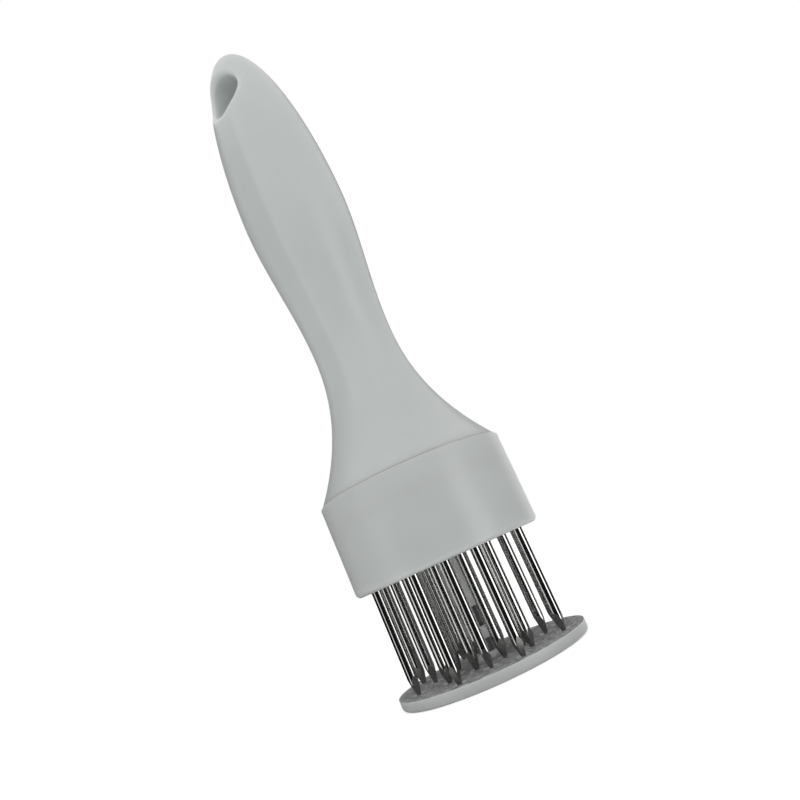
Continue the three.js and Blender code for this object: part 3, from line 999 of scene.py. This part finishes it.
# Studio
# A white floor and one soft lamp. A ring of strip lights and black flags stands round the tool, as round
# any polished steel, and only reflections see it. Sizes are in metres, the lens and sensor in millimetres.
camera_place = Vector((140.8, -164.5, 31.1)) * mm
camera_heading = math.radians(38.96)
camera_pitch = math.radians(12.28)
camera_roll = math.radians(-24.19)
camera_lens = 34.2
camera_sensor = 36
tool_middle = Vector((0, 0, 0.1))
white = (1, 1, 1, 1)

camera_data = bpy.data.cameras.new("camera")
camera_data.lens = camera_lens
camera_data.sensor_width = camera_sensor
camera_data.clip_start = 0.01
camera = bpy.data.objects.new("camera", camera_data)
bpy.context.collection.objects.link(camera)
turn = (
    Matrix.Rotation(camera_heading, 4, "Z")
    @ Matrix.Rotation(math.pi / 2 + camera_pitch, 4, "X")
    @ Matrix.Rotation(camera_roll, 4, "Z")
)
camera.matrix_world = Matrix.Translation(camera_place) @ turn
bpy.context.scene.camera = camera
bpy.context.scene.view_settings.view_transform = "Standard"

# A square lamp behind the camera, aimed at the middle of the tool. Reflections don't show it
lamp_azimuth = math.radians(-47)
lamp_elevation = math.radians(6)
lamp_distance = 1
lamp_width = 0.8
lamp_power = 1.8

lamp_data = bpy.data.lights.new("key_lamp", "AREA")
lamp_data.size = lamp_width
lamp_data.energy = lamp_power
key_lamp = bpy.data.objects.new("key_lamp", lamp_data)
bpy.context.collection.objects.link(key_lamp)
level = Vector((math.cos(lamp_azimuth), math.sin(lamp_azimuth), 0))
to_lamp = level * math.cos(lamp_elevation) + Vector((0, 0, math.sin(lamp_elevation)))
key_lamp.location = tool_middle + to_lamp * lamp_distance
key_lamp.rotation_euler = to_lamp.to_track_quat("Z", "Y").to_euler()
key_lamp.visible_glossy = False


def ray(finish, kind):
    """One for rays of a kind, such as Is Camera Ray, and zero for others."""
    return finish.node("ShaderNodeLightPath", {}, {}, kind)


# The world is white wherever the camera or a reflection sees it, and lights the tool more weakly
world_light = 0.73

world = bpy.data.worlds.new("world")
bpy.context.scene.world = world
finish = Finish(world)
mirrored = ray(finish, "Is Glossy Ray").maths("MAXIMUM", ray(finish, "Is Transmission Ray"))
seen = ray(finish, "Is Camera Ray").maths("MAXIMUM", mirrored)
strength = seen * (1 - world_light) + world_light
background = finish.node("ShaderNodeBackground", {}, {"Color": white, "Strength": strength})
finish.node("ShaderNodeOutputWorld", {}, {"Surface": background})

# The floor is white to the camera and keeps a soft shadow. Reflections pass through it to the strip lights
floor_width = 40
floor_paint = (0.85, 0.85, 0.85, 1)
floor_glow = 0.5

bpy.ops.object.select_all(action="DESELECT")
bpy.ops.mesh.primitive_plane_add(size=floor_width, location=(0, 0, 0))
floor = bpy.context.object
floor.name = "floor"
finish = Finish(bpy.data.materials.new("floor_white"))
paint = finish.node("ShaderNodeBsdfDiffuse", {}, {"Color": floor_paint})
strength = ray(finish, "Is Camera Ray") * floor_glow
glow = finish.node("ShaderNodeEmission", {}, {"Color": white, "Strength": strength})
lit = finish.node("ShaderNodeAddShader", {}, {0: paint, 1: glow})
clear = finish.node("ShaderNodeBsdfTransparent")
mixed = finish.node("ShaderNodeMixShader", {}, {0: ray(finish, "Is Glossy Ray"), 1: lit, 2: clear})
finish.node("ShaderNodeOutputMaterial", {}, {"Surface": mixed})
coat(floor, finish.owner)

# Strip lights between black flags, each at an azimuth, with half its width in degrees and its strength. On
# the side of the camera the flags give way to white higher up, where only the handle mirrors them
strips = [(1, 14, 2.5), (-109, 12, 1.1), (96, 18, 1.0)]
strip_edge = math.radians(3)
flag_light = 0.012
white_side = (-8, 104)
white_light = 0.9
white_start, white_full = 0.1, 0.5
tent_radius = 1.2
tent_height = 2.4

bpy.ops.object.select_all(action="DESELECT")
bpy.ops.mesh.primitive_cylinder_add(
    vertices=96, radius=tent_radius, depth=tent_height, end_fill_type="NOTHING", location=tool_middle
)
tent = bpy.context.object
tent.name = "reflection_tent"
tent.visible_camera = False
tent.visible_diffuse = False
tent.visible_shadow = False
tent.visible_transmission = False
finish = Finish(bpy.data.materials.new("strips_and_flags"))
place = finish.place()
x, y, z = (finish.node("ShaderNodeSeparateXYZ", {}, {0: place}, axis) for axis in "XYZ")
away = (x * x + y * y) ** 0.5
higher = finish.ramp(z, white_start, white_full)


def toward(azimuth, half):
    """One within so many degrees of an azimuth and zero elsewhere, with a soft edge between."""
    a = math.radians(azimuth)
    edge = math.radians(half)
    alignment = (x * math.cos(a) + y * math.sin(a)) / away
    return finish.ramp(alignment, math.cos(edge + strip_edge), math.cos(edge - strip_edge))


light = higher * toward(*white_side) * white_light + flag_light
for azimuth, half, power in strips:
    light = toward(azimuth, half) * (1 - higher) * power + light
glow = finish.node("ShaderNodeEmission", {}, {"Color": white, "Strength": light})
finish.node("ShaderNodeOutputMaterial", {}, {"Surface": glow})
finish.owner.cycles.emission_sampling = "NONE"
coat(tent, finish.owner)
